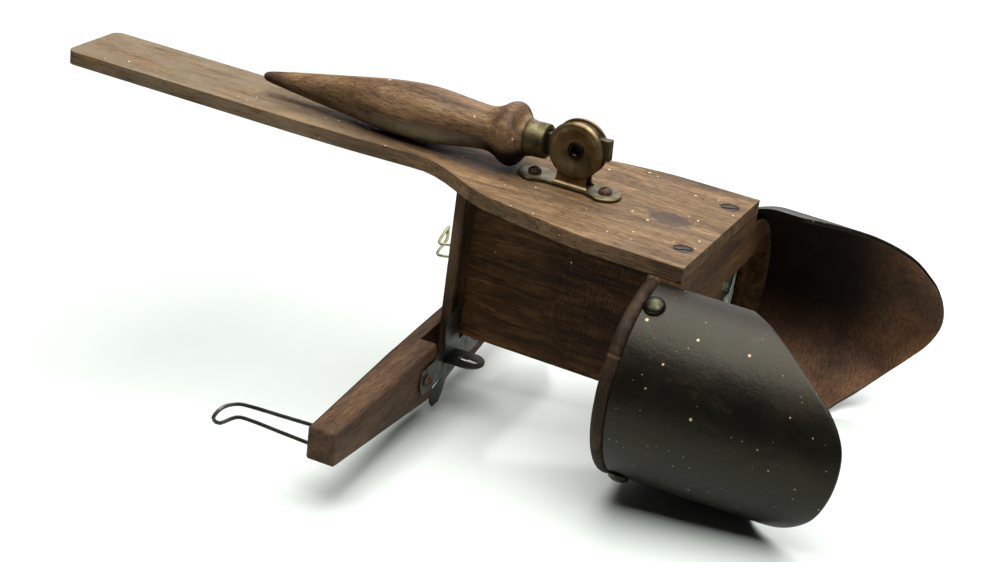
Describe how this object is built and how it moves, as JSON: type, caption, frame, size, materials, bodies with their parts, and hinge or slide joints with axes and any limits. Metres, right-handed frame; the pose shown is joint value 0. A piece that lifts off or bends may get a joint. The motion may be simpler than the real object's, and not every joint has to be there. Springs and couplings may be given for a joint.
{
  "type": "hand stereoscope",
  "caption": "Hand stereoscope lying upside down: shaft with a folding handle, lens board with bent hood, septum and a removable cross-bar with wire card holders.",
  "frame": {"origin": "on the shaft's broad face, on its centre line, 25 mm from the end that carries the lenses", "axes": "+X along the shaft towards the eyes, +Y across the shaft, +Z out of the broad face that carries the folding handle (down when the viewer is in use)"},
  "size_m": [0.3635, 0.2065, 0.1319],
  "materials": {
    "weathered_wood": "dry oiled walnut, worn grey-brown",
    "turned_wood": "turned hardwood, grey and rubbed through in places",
    "curly_veneer": "dark stained veneer with a rippled figure",
    "blacked_veneer": "thin bent veneer, stained black outside with a satin sheen, brown inside",
    "aged_brass": "olive-brown patina",
    "dull_steel": "dull gunmetal grey sheet and wire",
    "rusty_steel": "screw heads with brown rust",
    "lens_glass": "clear ground lens"
  },
  "bodies": {
    "viewer": {"shaft": "weathered_wood", "lens_board": "weathered_wood", "lens_near": "lens_glass", "lens_far": "lens_glass", "lens_retainer_near": "curly_veneer", "lens_retainer_far": "curly_veneer", "septum": "curly_veneer", "septum_post": "weathered_wood", "hood": "blacked_veneer", "hood_nail_near_upper": "aged_brass", "hood_nail_near_lower": "aged_brass", "hood_nail_far_lower": "aged_brass", "board_screw_near": "rusty_steel", "board_screw_far": "rusty_steel", "hinge_bracket": "aged_brass", "hinge_screw_back": "rusty_steel", "hinge_screw_front": "rusty_steel", "hinge_rivet": "aged_brass"},
    "handle": {"handle": "turned_wood", "ferrule": "aged_brass", "handle_tang": "aged_brass"},
    "crossbar": {"crossbar": "weathered_wood", "clip": "dull_steel", "clip_screw_near": "rusty_steel", "clip_screw_far": "rusty_steel", "wire_near": "dull_steel", "wire_far": "dull_steel"}
  },
  "joints": [
    {"name": "handle_fold", "type": "hinge", "parent": "viewer", "child": "handle", "pos_m": [-0.0371, 0, 0.0156], "axis": [0, 1, 0], "range_deg": [0, 98]},
    {"name": "crossbar_slide", "type": "slide", "parent": "viewer", "child": "crossbar", "axis": [0, 0, 1], "range_m": [-0.01, 0]}
  ]
}
